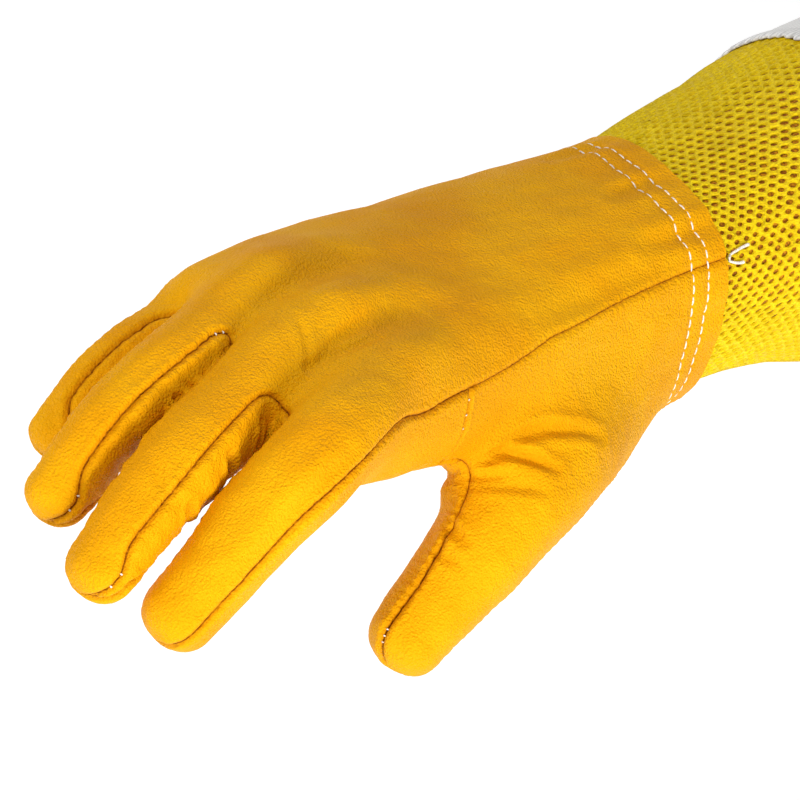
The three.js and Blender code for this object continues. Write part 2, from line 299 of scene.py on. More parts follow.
def face_normals(points, faces):
    a, b, c = (points[faces[:, i]] for i in range(3))
    return unit(np.cross(b - a, c - a) + 1e-12)


def vertex_normals(points, faces):
    a, b, c = (points[faces[:, i]] for i in range(3))
    weighted = np.cross(b - a, c - a)
    total = np.zeros_like(points)
    for i in range(3):
        np.add.at(total, faces[:, i], weighted)
    return unit(total + 1e-12)


# ---- panels: the leather is cut where a value passes zero ----
def ease(t):
    """From 0 to 1, with a soft start and end."""
    t = np.clip(t, 0, 1)
    return t * t * (3 - 2 * t)


NAMES = list(FINGERS)
STRIPS = {f"strip_{a}_{b}": (a, b) for a, b in zip(NAMES, NAMES[1:])}
BACK_EDGE = 25  # degrees round each finger where its back ends on the thumb side
OUTER_EDGE = {"index": 175, "middle": 175, "ring": 175, "little": 152}  # and on the outer side
STRIP_TOP = {"middle": 55, "ring": 64, "little": 95}  # the strips between the fingers, on the thumb side
STRIP_LOW = -28
CROTCH_X = {"index": 421, "middle": 416.5, "ring": 413.5}  # where the strip beside each finger starts
STRIP_SHARPNESS = 7  # degrees of the strip's width that a millimetre before its start is worth
STRIP_ROUNDING = 100  # how far the strip's start is rounded, in the same degrees
STRIP_OUTER = (152, 208)
STRIP_TAPER = 16  # a strip narrows to nothing over this length at the fingertip
THUMB_SEAM = ((70, 150), (100, 140), (130, 124))  # reach along the thumb, degrees
SIDE_SEAM = ((225, 40), (310, 36), (330, 29), (354, 22), (384, 14))  # X, degrees
OUTER_SEAM = ((225, 192), (310, 190), (384, 176))
HEEL_SEAM = -40  # degrees round the arm, where the thumb's leather meets the palm's
THUMB_WEB_X = 354  # the seam that goes down into the web of the thumb
THUMB_BASE = 43  # reach along the thumb where its inner leather starts
FINGERS_START = 372  # X where the seams start to turn from the arm's angles to the fingers'
FINGERS_TURN = 30  # and the length over which they do
FINGERS_FREE = 400  # X beyond which there are only fingers
ELSEWHERE = 50  # a panel's value far from it
HAND_SPLIT_X = 325.0  # where the rear of the hand's panels ends
JOINTS = {
    "wrist": ((270, 4, 1.5), (0.991, 0.118, 0.060)),
    "knuckles": ((384, 22, 15.5), (0.999, 0.05, 0.0)),
    "thumb": ((336, 71.5, -32), (0.680, 0.320, -0.660)),
    "index": ((422, 74, 21), (0.893, 0.353, -0.280)),
    "middle": ((441.4, 49.5, 12.5), (0.892, 0.350, -0.285)),
    "ring": ((435.9, 24.5, 14), (0.932, 0.300, -0.203)),
    "little": ((420.9, -4, 7), (0.947, 0.220, -0.232)),
}
# How far before and after each joint the leather bends, along the limb.
BENDS = {
    "wrist": (-20, 22),
    "knuckles": (-14, 14),
    "thumb": (-16, 8),
    "index": (5, 25),
    "middle": (-6, 16),
    "ring": (-8, 14),
    "little": (11, 28),
}


def strip_value(finger, angle, reach, thumb_side):
    """Below zero on the strip along one side of a finger."""
    left = FINGERS[finger].reach[-1] + 6 - reach
    open_share = ease(left / STRIP_TAPER)
    if thumb_side:
        seam, low, high = BACK_EDGE, STRIP_LOW, STRIP_TOP[finger]
    else:
        seam, (low, high) = OUTER_EDGE[finger], STRIP_OUTER
    low, high = seam + (low - seam) * open_share, seam + (high - seam) * open_share
    return np.maximum(angle - high, low - angle)


def panel_values(points):
    """The values that the panels and pieces are cut by, for each point."""
    fields = limb_fields(points)
    angle = {name: limb.angle(points) for name, limb in LIMBS.items()}
    reach = {name: limb.local(points)[0] for name, limb in LIMBS.items()}
    x = points[:, 0]
    finger = np.argmin([fields[name] for name in NAMES], axis=0)
    side, outer = (np.interp(x, *zip(*seam)) for seam in (SIDE_SEAM, OUTER_SEAM))
    on_arm = np.minimum(angle["arm"] - side, outer - angle["arm"])
    on_each = [np.minimum(angle[name] - BACK_EDGE, OUTER_EDGE[name] - angle[name]) for name in NAMES]
    on_finger = np.choose(finger, on_each)
    fingery = ease((x - FINGERS_START) / FINGERS_TURN)
    values = {"back": (1 - fingery) * on_arm + fingery * on_finger}
    for i, (strip_name, (a, b)) in enumerate(STRIPS.items()):
        share = ease(0.5 + (fields[b] - fields[a]) / 8)
        strip = share * strip_value(a, angle[a], reach[a], False)
        strip += (1 - share) * strip_value(b, angle[b], reach[b], True)
        strip = -merged(-strip, STRIP_SHARPNESS * (x - CROTCH_X[a]), STRIP_ROUNDING)
        away = ~np.isin(finger, (i, i + 1)) | (x < FINGERS_FREE)
        values[strip_name] = np.where(away, ELSEWHERE, strip)
    on_thumb = fields["arm"] - fields["thumb"]
    seam = np.interp(reach["thumb"], *zip(*THUMB_SEAM))
    round_thumb = np.minimum(angle["thumb"] + 12, seam - angle["thumb"])
    round_arm = np.minimum(angle["arm"] - HEEL_SEAM, 3 * (THUMB_WEB_X - x))
    share = ease(0.5 + on_thumb / 10)
    values["thumb_outer"] = (1 - share) * round_arm + share * round_thumb
    inner = np.minimum(on_thumb + 6, reach["thumb"] - THUMB_BASE)
    values["on_thumb"] = np.where(x > FINGERS_FREE, -ELSEWHERE, inner)
    values["front_half"] = x - HAND_SPLIT_X
    for name in NAMES:
        values[f"far_{name}"] = np.where(finger == NAMES.index(name), along_joint(points, name), -ELSEWHERE)
    values["far_thumb"] = along_joint(points, "thumb")
    return values


def along_joint(points, name):
    """How far each point is past the plane where the leather starts to bend."""
    place, direction = JOINTS[name]
    return (points - place) @ unit(direction) - BENDS[name][0]


SNAP = 0.25  # a cut that passes this near a point, as a share of the edge, goes through the point


class Surface:
    """Triangles with values at their points, which can be cut along a value's zero line."""

    def __init__(self, points, faces):
        self.points, self.faces = points, faces
        self.values = panel_values(points)

    def cut(self, name, allowed=None):
        """Cuts along the zero line of one value. Allowed holds pairs: another value's name, and the sign that
        it must have in the triangles that are cut."""
        value = self.values[name].copy()
        faces = self.faces
        free = np.ones(len(faces), bool)
        for other, sign in allowed or ():
            free &= (sign * self.values[other][faces]).max(1) > 0
        edges = np.unique(np.sort(edges_of(faces[free]), 1), axis=0)
        a, b = edges.T
        crossing = value[a] * value[b] < 0
        a, b = a[crossing], b[crossing]
        t = value[a] / (value[a] - value[b])
        for end, start, share in ((a, b, t), (b, a, 1 - t)):
            close = share < SNAP
            moved, first = np.unique(end[close], return_index=True)
            if len(moved) == 0:
                continue
            other, s = start[close][first], share[close][first][:, None]
            self.points[moved] += s * (self.points[other] - self.points[moved])
            value[moved] = 0
        self.values[name] = value
        crossing = value[a] * value[b] < 0
        a, b = a[crossing], b[crossing]
        t = value[a] / (value[a] - value[b])
        count = len(self.points)
        added = self.points[a] + t[:, None] * (self.points[b] - self.points[a])
        self.points = np.vstack([self.points, added])
        for key, v in self.values.items():
            self.values[key] = np.concatenate([v, v[a] + t * (v[b] - v[a])])
        self.values[name][count:] = 0
        middle = {pair: count + i for i, pair in enumerate(zip(a.tolist(), b.tolist()))}
        self.faces = np.array(split_faces(faces.tolist(), middle))


def split_faces(faces, middle):
    """The triangles with those that have cut edges split in two or three."""
    result = []
    for face in faces:
        cut = [middle.get((min(p, q), max(p, q))) for p, q in zip(face, face[1:] + face[:1])]
        count = 3 - cut.count(None)
        if count == 0:
            result.append(face)
            continue
        if count == 1:
            i = next(i for i in range(3) if cut[i] is not None)
            p, q, r = face[i], face[(i + 1) % 3], face[(i + 2) % 3]
            result += [[p, cut[i], r], [cut[i], q, r]]
            continue
        i = cut.index(None) if count == 2 else 0
        p, q, r = face[i], face[(i + 1) % 3], face[(i + 2) % 3]
        right, left = cut[(i + 1) % 3], cut[(i + 2) % 3]
        if count == 2:
            result += [[p, q, right], [p, right, left], [left, right, r]]
        else:
            result += [[p, cut[i], left], [cut[i], q, right], [left, right, r], [cut[i], right, left]]
    return result


def refine(points, faces):
    """Each triangle as four."""
    edges = np.sort(edges_of(faces), 1)
    unique, index = np.unique(edges, axis=0, return_inverse=True)
    index = index.reshape(-1, 3) + len(points)
    points = np.vstack([points, points[unique].mean(1)])
    a, b, c = faces.T
    ab, bc, ca = index.T
    faces = np.stack([[a, ab, ca], [ab, b, bc], [ca, bc, c], [ab, bc, ca]]).transpose(2, 0, 1).reshape(-1, 3)
    return points, faces, unique


def mesh_object(name, points, faces):
    """A smooth object from points in millimetres."""
    mesh = bpy.data.meshes.new(name)
    mesh.from_pydata((np.asarray(points) * MM).tolist(), [], [list(face) for face in faces])
    mesh.update()
    mesh.shade_smooth()
    # The materials read their patterns from these places, so the patterns stay on the piece when it bends.
    rest = mesh.attributes.new("rest", "FLOAT_VECTOR", "POINT")
    rest.data.foreach_set("vector", np.asarray(points, np.float32).reshape(-1))
    obj = bpy.data.objects.new(name, mesh)
    bpy.context.scene.collection.objects.link(obj)
    return obj


def label_faces(surface):
    """The panel of each triangle, and the stretch of the glove it lies on."""
    value = {name: v[surface.faces].mean(1) for name, v in surface.values.items()}
    panel = np.full(len(surface.faces), "palm", dtype=object)
    panel[value["on_thumb"] > 0] = "thumb_inner"
    panel[value["thumb_outer"] > 0] = "thumb_outer"
    panel[value["back"] > 0] = "back"
    for name in STRIPS:
        panel[value[name] < 0] = name
    stretch = np.where(value["front_half"] > 0, "front", "rear").astype(object)
    for name in NAMES:
        stretch[value[f"far_{name}"] > 0] = name
    thumb = np.isin(panel, ("thumb_outer", "thumb_inner"))
    stretch[thumb] = np.where(value["far_thumb"][thumb] > 0, "thumb", "rear")
    return panel, stretch


def edges_between(faces, label):
    """The points that lie on an edge between triangles of two labels."""
    edges = np.sort(edges_of(faces), 1)
    owner = np.repeat(np.unique(label.astype(str), return_inverse=True)[1], 3)
    order = np.lexsort((edges[:, 1], edges[:, 0]))
    edges, owner = edges[order], owner[order]
    same = (edges[1:] == edges[:-1]).all(1)
    differs = same & (owner[1:] != owner[:-1])
    return np.unique(edges[1:][differs])


def distance_to(points, targets):
    tree = kdtree.KDTree(len(targets))
    for i, target in enumerate(targets):
        tree.insert(target, i)
    tree.balance()
    return np.array([tree.find(p)[2] for p in points.tolist()])


# ---- the leather's folds ----
# A fold: the limb it is on, its two ends (share of the limb's length, degrees round it), its depth and width.
FOLDS = [
    # fanning out from the web of the thumb over the thumb's outer leather
    ("thumb", (0.62, 145), (0.48, 55), 1.1, 2.0),
    ("thumb", (0.64, 145), (0.60, 75), 1.3, 1.8),
    ("thumb", (0.66, 138), (0.65, 120), 0.6, 1.2),
    ("thumb", (0.69, 145), (0.66, 105), 0.9, 1.5),
    ("thumb", (0.71, 140), (0.65, 75), 0.7, 1.8),
    ("thumb", (0.79, 140), (0.80, 110), 0.7, 1.6),
    ("thumb", (0.84, 130), (0.84, 95), 0.5, 1.6),
    # fanning out from the web between the forefinger and the middle finger
    ("arm", (0.90, 65), (0.80, 60), 0.5, 1.5),
    ("arm", (0.90, 65), (0.76, 75), 0.5, 1.7),
    ("arm", (0.90, 65), (0.86, 85), 0.4, 1.3),
    # the hollows between the knuckles, and the long slack fold behind the thumb
    ("arm", (0.88, 100), (0.72, 100), 1.3, 6.5),
    ("arm", (0.84, 65), (0.70, 65), 1.3, 6.0),
    ("arm", (0.55, 45), (0.25, 45), 0.7, 4.0),
    # drawn in by the cuff's stitching
    ("arm", (0.28, 120), (0.18, 120), 0.8, 2.6),
    ("arm", (0.28, 85), (0.18, 85), 0.7, 2.8),
    ("arm", (0.30, 55), (0.18, 55), 1.0, 3.0),
    # along the side of the forefinger, and across the ends of the fingers
    ("index", (0.85, 30), (0.60, 45), 0.8, 3.0),
    ("middle", (0.85, 60), (0.80, 110), 0.4, 1.8),
    # crumpling the strips between the fingers
    ("middle", (0.60, 25), (0.64, -20), 1.3, 1.2),
    ("middle", (0.70, 25), (0.72, -20), 1.4, 1.4),
    ("middle", (0.82, 20), (0.84, -15), 1.2, 1.3),
    ("ring", (0.72, 25), (0.76, -15), 1.2, 1.2),
    ("little", (0.70, 25), (0.74, -15), 1.1, 1.2),
]
# A bulge: the limb it is on, its middle (share of the limb's length, degrees round it), its reach and height.
BULGES = [
    ("thumb", (0.71, 170), 5.0, 2.8),
    ("middle", (0.66, 0), 6.0, 1.5),
    ("middle", (0.77, 0), 7.0, 1.5),
    ("arm", (0.80, 80), 12.0, 1.1),
    ("arm", (0.78, 55), 12.0, 0.8),
    ("arm", (0.79, 120), 11.0, 1.0),
]
FOLD_STRENGTH = 1.5
FOLD_STEPS = 7  # points that a fold's line is drawn with
RIDGE_SHARE = 0.5  # the height of the ridges beside a fold, as a share of its depth
RIDGE_PLACE = 1.9  # and their distance from it, in widths
VALLEY_DEPTH, VALLEY_WIDTH = 0.95, 0.75  # along a seam
LIP_HEIGHT, LIP_PLACE, LIP_WIDTH = 0.34, 2.0, 1.1  # beside it
REAR_SEAM_SHARE = 0.5  # the seams down the hand are flatter than the fingers'
SMOOTH_SEAM_END = THUMB_WEB_X - 4  # X up to which they are
GATHER = 3.3  # one pucker along a seam
GATHER_HEIGHT, GATHER_REACH = 0.2, 2.2
CRIMP = 2.6  # one crease across the thumb's inner leather
CRIMP_HEIGHT, CRIMP_REACH = 0.28, 6.0
PLEAT_SIZE, PLEAT_HEIGHT, STRIP_LIFT = 3.6, 0.75, 0.15  # on the strips between the fingers
# The slack's lumps: height, size along each axis, and where the noise is read.
SLACK = (
    (0.8, (30.0, 16.0, 16.0), 7.7),
    (0.3, (13.0, 6.0, 6.0), 1.3),
    (0.05, (4.5, 2.4, 2.4), 5.9),
)
HEM_HEIGHT, HEM_PLACE, HEM_WIDTH = 0.7, 5.0, 9.0  # the wavy edge of the cuff
ROW_DEPTH, ROW_WIDTH = 0.45, 1.1  # what a stitch row presses in
# Each row of stitches round the cuff: its distance from the leather's edge, and its CAD node.
STITCH_ROWS = {
    "cuff_stitches_rear": (8.5, "cuff_stitch_rear"),
    "cuff_stitches_front": (15.5, "cuff_stitch_front"),
}


def on_limb(name, share, degrees):
    """Points on the leather at shares of a limb's length and angles round it."""
    limb = LIMBS[name]
    reach = np.atleast_1d(share) * limb.reach[-1]
    turn = np.radians(np.atleast_1d(degrees))

    def at(values):
        return np.stack([np.interp(reach, limb.reach, column) for column in values.T], -1)

    half = at(limb.half)
    centre = at(limb.centre) + np.maximum(reach - limb.reach[-1], 0)[:, None] * limb.along[-1]
    across = half[:, :1] * np.cos(turn)[:, None] * at(limb.side)
    return settle(centre + across + half[:, 1:] * np.sin(turn)[:, None] * at(limb.top), 3)


def hump(x, middle, width):
    """A smooth hump of height one."""
    return np.exp(-(((x - middle) / width) ** 2))


def fold_height(points, line, depth, width):
    """A valley along a line, with a low ridge on each side, that fades at its ends."""
    best = np.full(len(points), np.inf)
    place = np.zeros(len(points))
    starts = lengths_along(line)
    for a, b, start, step in zip(line, line[1:], starts, np.diff(starts)):
        t = np.clip((points - a) @ (b - a) / step**2, 0, 1)
        gap = np.linalg.norm(points - a - t[:, None] * (b - a), axis=1)
        closer = gap < best
        best[closer] = gap[closer]
        place[closer] = start + t[closer] * step
    share = place / starts[-1]
    strength = np.sqrt(np.clip(np.sin(np.pi * np.clip(share, 0.04, 0.96)), 0, 1))
    valley = -hump(best, 0, width)
    ridge = RIDGE_SHARE * hump(best, RIDGE_PLACE * width, width)
    return depth * strength * (valley + ridge)


def noise_at(points, size, seed=0.0):
    """Smooth noise, about -1 to 1, whose lumps are about size across. size may differ along each axis."""
    scaled = points / size + seed
    return np.array([noise.noise(p) for p in scaled.tolist()])


def leather_height(points, panel_share, seam, reach):
    """How far the leather stands off its smooth shape: seams, gathers, folds and slack."""
    wander = noise_at(points, 4.0, 3.1)
    gather = np.sin(2 * np.pi * reach / GATHER + 2.5 * wander)
    strength = np.where(points[:, 0] < SMOOTH_SEAM_END, REAR_SEAM_SHARE, 1.0)
    lips = LIP_HEIGHT * hump(seam, LIP_PLACE, LIP_WIDTH)
    height = strength * (lips - VALLEY_DEPTH * hump(seam, 0, VALLEY_WIDTH))
    height += GATHER_HEIGHT * gather * np.exp(-seam / GATHER_REACH) * ease(seam / 0.8)
    slack = sum(tall * noise_at(points, np.array(size), seed) for tall, size, seed in SLACK)
    height += slack * ease(seam / 3)
    pleats = noise_at(np.stack([reach, seam * 0.3, 0 * reach], 1), PLEAT_SIZE, 9.2)
    height += panel_share["strip"] * (PLEAT_HEIGHT * pleats + STRIP_LIFT) * ease(seam / 2.5)
    crimp = np.sin(2 * np.pi * reach / CRIMP + 3 * wander) * ease(seam / 1.2)
    height += panel_share["thumb_inner"] * CRIMP_HEIGHT * crimp * np.exp(-seam / CRIMP_REACH)
    for limb, start, end, depth, width in FOLDS:
        shares, degrees = np.linspace(start, end, FOLD_STEPS).T
        height += fold_height(points, on_limb(limb, shares, degrees), FOLD_STRENGTH * depth, width)
    for limb, place, reach_of_bulge, rise in BULGES:
        gap = np.linalg.norm(points - on_limb(limb, *place), axis=1)
        height += rise * hump(gap, 0, reach_of_bulge)
    from_edge = points[:, 0] - CUFF_EDGE
    hem = HEM_HEIGHT * hump(from_edge, HEM_PLACE, HEM_WIDTH)
    height += hem * noise_at(points, np.array([30.0, 7.0, 7.0]), 2.2)
    for row, _ in STITCH_ROWS.values():
        height -= ROW_DEPTH * hump(from_edge, row, ROW_WIDTH)
    return height


# A cut that is made only where other values are below zero.
CUT_ONLY = {
    "thumb_outer": [("back", -1)],
    "on_thumb": [("back", -1), ("thumb_outer", -1)],
}


class Leather:
    """The whole leather surface with its panels marked, at the fineness it is shown at."""

    def __init__(self):
        surface = Surface(*draw_surface(CELL))
        surface.values["cuff"] = surface.points[:, 0] - CUFF_EDGE
        far_ends = [f"far_{name}" for name in (*NAMES, "thumb")]
        for name in ("cuff", "back", *STRIPS, "thumb_outer", "on_thumb", "front_half", *far_ends):
            surface.cut(name, CUT_ONLY.get(name))
        kept = surface.values["cuff"][surface.faces].mean(1) > 0
        surface.faces = surface.faces[kept]
        panel, stretch = label_faces(surface)
        normals = field_normals(surface.points)
        reach = self.reach_along(surface.points)
        points, self.faces, edges = refine(surface.points, surface.faces)
        self.panel, self.stretch = np.repeat(panel, 4), np.repeat(stretch, 4)
        normals = unit(np.vstack([normals, normals[edges].mean(1)]))
        reach = np.concatenate([reach, reach[edges].mean(1)])
        used = np.unique(self.faces)
        self.seam_points = edges_between(self.faces, self.panel)
        self.seam = np.full(len(points), FAR)
        self.seam[used] = distance_to(points[used], points[self.seam_points])
        shares = {
            "strip": self.share_of(points, [p.startswith("strip") for p in self.panel]),
            "thumb_inner": self.share_of(points, self.panel == "thumb_inner"),
        }
        height = leather_height(points, shares, self.seam, reach)
        self.points = points + normals * height[:, None]
        self.normals = normals

    def reach_along(self, points):
        """The distance along whichever limb each point is on."""
        fields = limb_fields(points)
        order = [*NAMES, "thumb", "arm"]
        nearest = np.argmin([fields[name] for name in order], axis=0)
        return np.choose(nearest, [LIMBS[name].local(points)[0] for name in order])

    def share_of(self, points, chosen):
        inside = np.zeros(len(points))
        inside[np.unique(self.faces[np.asarray(chosen)])] = 1
        return inside

    def tree(self):
        return BVHTree.FromPolygons(self.points.tolist(), self.faces.tolist())


# Each piece: the panel and the stretch it is cut from, and the CAD nodes it stands for.
LEATHER_PIECES = {
    "leather_back_rear": ("back", "rear", ("cuff_back", "hand_back")),
    "leather_back_knuckles": ("back", "front", ("knuckle_row_back", *(f"{n}_back_near" for n in NAMES))),
    "leather_palm_rear": ("palm", "rear", ("cuff_palm", "hand_palm")),
    "leather_palm_knuckles": ("palm", "front", ("knuckle_row_palm", *(f"{n}_front_near" for n in NAMES))),
    "leather_thumb_outer_base": ("thumb_outer", "rear", ("thumb_root_outer",)),
    "leather_thumb_outer_tip": ("thumb_outer", "thumb", ("thumb_outer",)),
    "leather_thumb_inner_base": ("thumb_inner", "rear", ("thumb_root_inner",)),
    "leather_thumb_inner_tip": ("thumb_inner", "thumb", ("thumb_inner",)),
}
for _finger in NAMES:
    LEATHER_PIECES[f"leather_{_finger}_back"] = ("back", _finger, (f"{_finger}_back_far",))
    LEATHER_PIECES[f"leather_{_finger}_front"] = ("palm", _finger, (f"{_finger}_front_far",))
for _panel, (_a, _b) in STRIPS.items():
    _near = (f"{_a}_side_outer_near", f"{_b}_side_thumb_near")
    LEATHER_PIECES[f"leather_web_{_a}_{_b}"] = (_panel, "front", _near)
    LEATHER_PIECES[f"leather_{_a}_side_outer"] = (_panel, _a, (f"{_a}_side_outer_far",))
    LEATHER_PIECES[f"leather_{_b}_side_thumb"] = (_panel, _b, (f"{_b}_side_thumb_far",))


def bend_with_joint(obj):
    """Bakes a leather piece's placement into its points; it is not made to follow a joint."""
    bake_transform(obj)


REAR_SEAM_THINNER = 1.8  # how much thinner the dark line is where the seam runs down the hand


def thick_piece(name, points, faces, normals, seam, thickness):
    """A closed piece: the outer faces, the same faces a thickness further in, and a rim."""
    used, faces = np.unique(faces, return_inverse=True)
    faces = faces.reshape(-1, 3)
    outer, n = points[used], normals[used]
    count = len(used)
    inner = outer - thickness * n
    edges = edges_of(faces)
    keys = edges[:, 0] * count + edges[:, 1]
    back_keys = edges[:, 1] * count + edges[:, 0]
    rim = edges[~np.isin(keys, back_keys)]
    rim_faces = np.stack([rim[:, 1], rim[:, 0], rim[:, 0] + count, rim[:, 1] + count], 1)
    polygons = faces.tolist() + (faces[:, ::-1] + count).tolist() + rim_faces.tolist()
    obj = mesh_object(name, np.vstack([outer, inner]), polygons)
    attribute = obj.data.attributes.new("seam", "FLOAT", "POINT")
    shown = seam[used] * np.where(outer[:, 0] < SMOOTH_SEAM_END, REAR_SEAM_THINNER, 1.0)
    attribute.data.foreach_set("value", np.concatenate([shown, shown]).astype(np.float32))
    rim_normals = unit(np.cross(outer[rim[:, 1]] - outer[rim[:, 0]], n[rim[:, 0]]) + 1e-9)
    corner_normals = np.vstack(
        [n[faces.reshape(-1)], -n[faces[:, ::-1].reshape(-1)], np.repeat(-rim_normals, 4, axis=0)]
    )
    obj.data.normals_split_custom_set(corner_normals.tolist())
    return obj


def build_leather(leather, material):
    for name, (panel, stretch, nodes) in LEATHER_PIECES.items():
        on_panel = leather.panel == panel
        normals = vertex_normals(leather.points, leather.faces[on_panel])
        faces = leather.faces[on_panel & (leather.stretch == stretch)]
        if len(faces) == 0:
            raise ValueError(f"{name} has no faces")
        obj = thick_piece(name, leather.points, faces, normals, leather.seam, LEATHER)
        obj.data.materials.append(material)
        bend_with_joint(obj)
        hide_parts(*nodes)


# ---- the sleeve: limbs of its own, and pieces swept round them ----
SLEEVE_STATIONS = [
    (0, -7, 8, 47, 43),
    (30, -7, 8, 54, 50),
    (80, -7, 6, 60.5, 54),
    (135, -4, 4, 56, 51),
    (185, -1, 1, 46, 41.5),
    (CUFF_EDGE, 3.5, -3, 41, 37),
    (248, 5, -2.5, 41, 35),
    (262, 6, -2.2, 41, 34),
]
SLEEVE = Limb(SLEEVE_STATIONS, HAND_UP, squareness=2.4)
MESH_START = 131.0  # where the mesh begins, along X
MESH_STOP = 241.0  # and where it ends, under the leather
MESH_INSET = 2.0  # from the limb's skin to the outside of the mesh
HOLE_ALONG = 4.3  # from one hole to the next along the sleeve
HOLE_ROUND = 2.95  # and from one column of holes to the next
HOLE_HALF = (1.85, 1.18)  # half the hole's size along and round the sleeve
HOLE_UNEVEN = 0.07  # how much the holes differ in size
HOLE_OFF_CENTRE = 0.12
YARN_DEPTHS = (0.35, 0.1, 1.2)  # where the yarns meet, at the hole's rim and at its base
BASE_SHARE = 0.86  # the hole's size at its base
CANVAS_INSET = 3.4
CANVAS_END = 143.0
HEM = 24.0
ROUND_STEPS = 240  # points round a swept piece
# The sleeve's long folds and short ripples: depth, length along it, and how many go round.
SLEEVE_SLACK = ((2.4, 60, 1.6), (0.8, 22, 5))
FABRIC = 1.7  # the middle of the mesh's two layers, below its outside
BAND_DEPTHS = (5.3, 6.5)  # the elastic band, inside the hem
SCALLOPS = 90  # along the white edge of the mesh
SCALLOP_HEIGHT = 2.0
SEAM_SHARE = 0.75  # the sleeve's seams are on the palm side
SEAM_HALF = 0.008
SEAM_STEPS = 90


def section_point(turn, half, squareness):
    """Across and up, in the rounded section of a limb."""
    c, s = np.cos(turn), np.sin(turn)
    r = (np.abs(c) ** squareness + np.abs(s) ** squareness) ** (-1 / squareness)
    return r * half[0] * c, r * half[1] * s


def evenly_round(limb, count=1440):
    """A table from shares of the way round the middle section to the angle, and the way's length."""
    turn = np.linspace(0, 2 * np.pi, count + 1)
    across, up = section_point(turn, limb.half[len(limb.half) // 2], limb.squareness)
    length = lengths_along(np.stack([across, up], 1))
    return length / length[-1], turn, length[-1]


SHARES, TURNS, SLEEVE_ROUND = evenly_round(SLEEVE)


def on_sleeve(x, share, inset):
    """Points at X, a share of the way round the sleeve from the thumb side, and a depth inside its skin."""
    x, share, inset = np.broadcast_arrays(np.asarray(x, float), share, inset)
    turn = np.interp(share % 1.0, SHARES, TURNS)

    def at(table):
        return np.stack([np.interp(x, SLEEVE.centre[:, 0], column) for column in table.T])

    half = at(SLEEVE.half) - inset
    across, up = section_point(turn, half, SLEEVE.squareness)
    return np.moveaxis(at(SLEEVE.centre) + across * at(SLEEVE.side) + up * at(SLEEVE.top), 0, -1)


def sleeve_slack(x, share):
    """How far the soft sleeve stands in from its smooth shape, in long shallow folds."""
    turn = 2 * np.pi * share
    x = np.asarray(x, float)
    free = ease((CUFF_EDGE + 4 - x) / 40)
    slack = np.zeros(turn.shape)
    for depth, length, waves in SLEEVE_SLACK:
        places = np.stack([x / length, waves * np.cos(turn), waves * np.sin(turn)], -1).reshape(-1, 3)
        slack += depth * noise_at(places, 1).reshape(turn.shape)
    return free * slack


def hem_gathers(x, share):
    """The canvas pulled in by its elastic."""
    turn = 2 * np.pi * share
    x = np.asarray(x, float)
    wander = 1.4 * np.sin(3 * turn + 1) + 0.9 * np.sin(7 * turn + 2)
    waves = np.sin(26 * turn + 2 * wander) + 0.25 * np.sin(41 * turn + 2 * wander)
    folds = np.sin(11 * turn + wander + x / 30)
    return 0.9 * hump(x, 0, 34) * waves + 1.1 * hump(x, 70, 40) * folds


def tube_faces(rings, sides, closed=False):
    """The faces of a tube, for points that go ring after ring: joined end to end, or capped."""
    faces = []
    for i in range(rings if closed else rings - 1):
        j = (i + 1) % rings
        for k in range(sides):
            m = (k + 1) % sides
            faces.append((i * sides + k, j * sides + k, j * sides + m, i * sides + m))
    if not closed:
        faces += [tuple(range(sides)), tuple(range((rings - 1) * sides, rings * sides))[::-1]]
    return faces


def turned_over(faces):
    return [face[::-1] for face in faces]


def swept(name, profile, shape=None, steps=ROUND_STEPS):
    """A piece with the same closed section, rows of X and inset, all round the sleeve."""
    profile = np.array(profile, float)
    x, share = np.meshgrid(profile[:, 0], np.arange(steps) / steps, indexing="ij")
    inset = np.broadcast_to(profile[:, 1:2], x.shape) + sleeve_slack(x, share)
    if shape is not None:
        x, inset = shape(x, share, inset)
    points = on_sleeve(x, share, inset).reshape(-1, 3)
    return mesh_object(name, points, tube_faces(len(profile), steps, closed=True))


def finish_piece(obj, material, slot, *nodes, body="gauntlet"):
    """Gives a piece its material, the body that it rides and the CAD nodes that it stands for, if any."""
    obj.data.materials.append(material)
    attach(obj, body)
    if nodes:
        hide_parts(*nodes)


def sleeve_area(start, stop, inset, steps=60):
    """The area in square millimetres that the sleeve's cloth covers between two places, at a depth."""
    x, share = np.linspace(start, stop, steps), np.arange(ROUND_STEPS + 1) / ROUND_STEPS
    girth = [np.linalg.norm(np.diff(on_sleeve(at, share, inset), axis=0), axis=1).sum() for at in x]
    return np.mean(girth) * abs(stop - start), max(girth)


def declare_cloth(start, stop, inset, hem=0.0):
    """Works out a cloth's area and largest girth between two places at a depth, and its hem's area; nothing
    uses them.
    """
    area, girth = sleeve_area(start, stop, inset)
    hem_area, _ = sleeve_area(start, start + hem, inset) if hem else (0.0, 0.0)


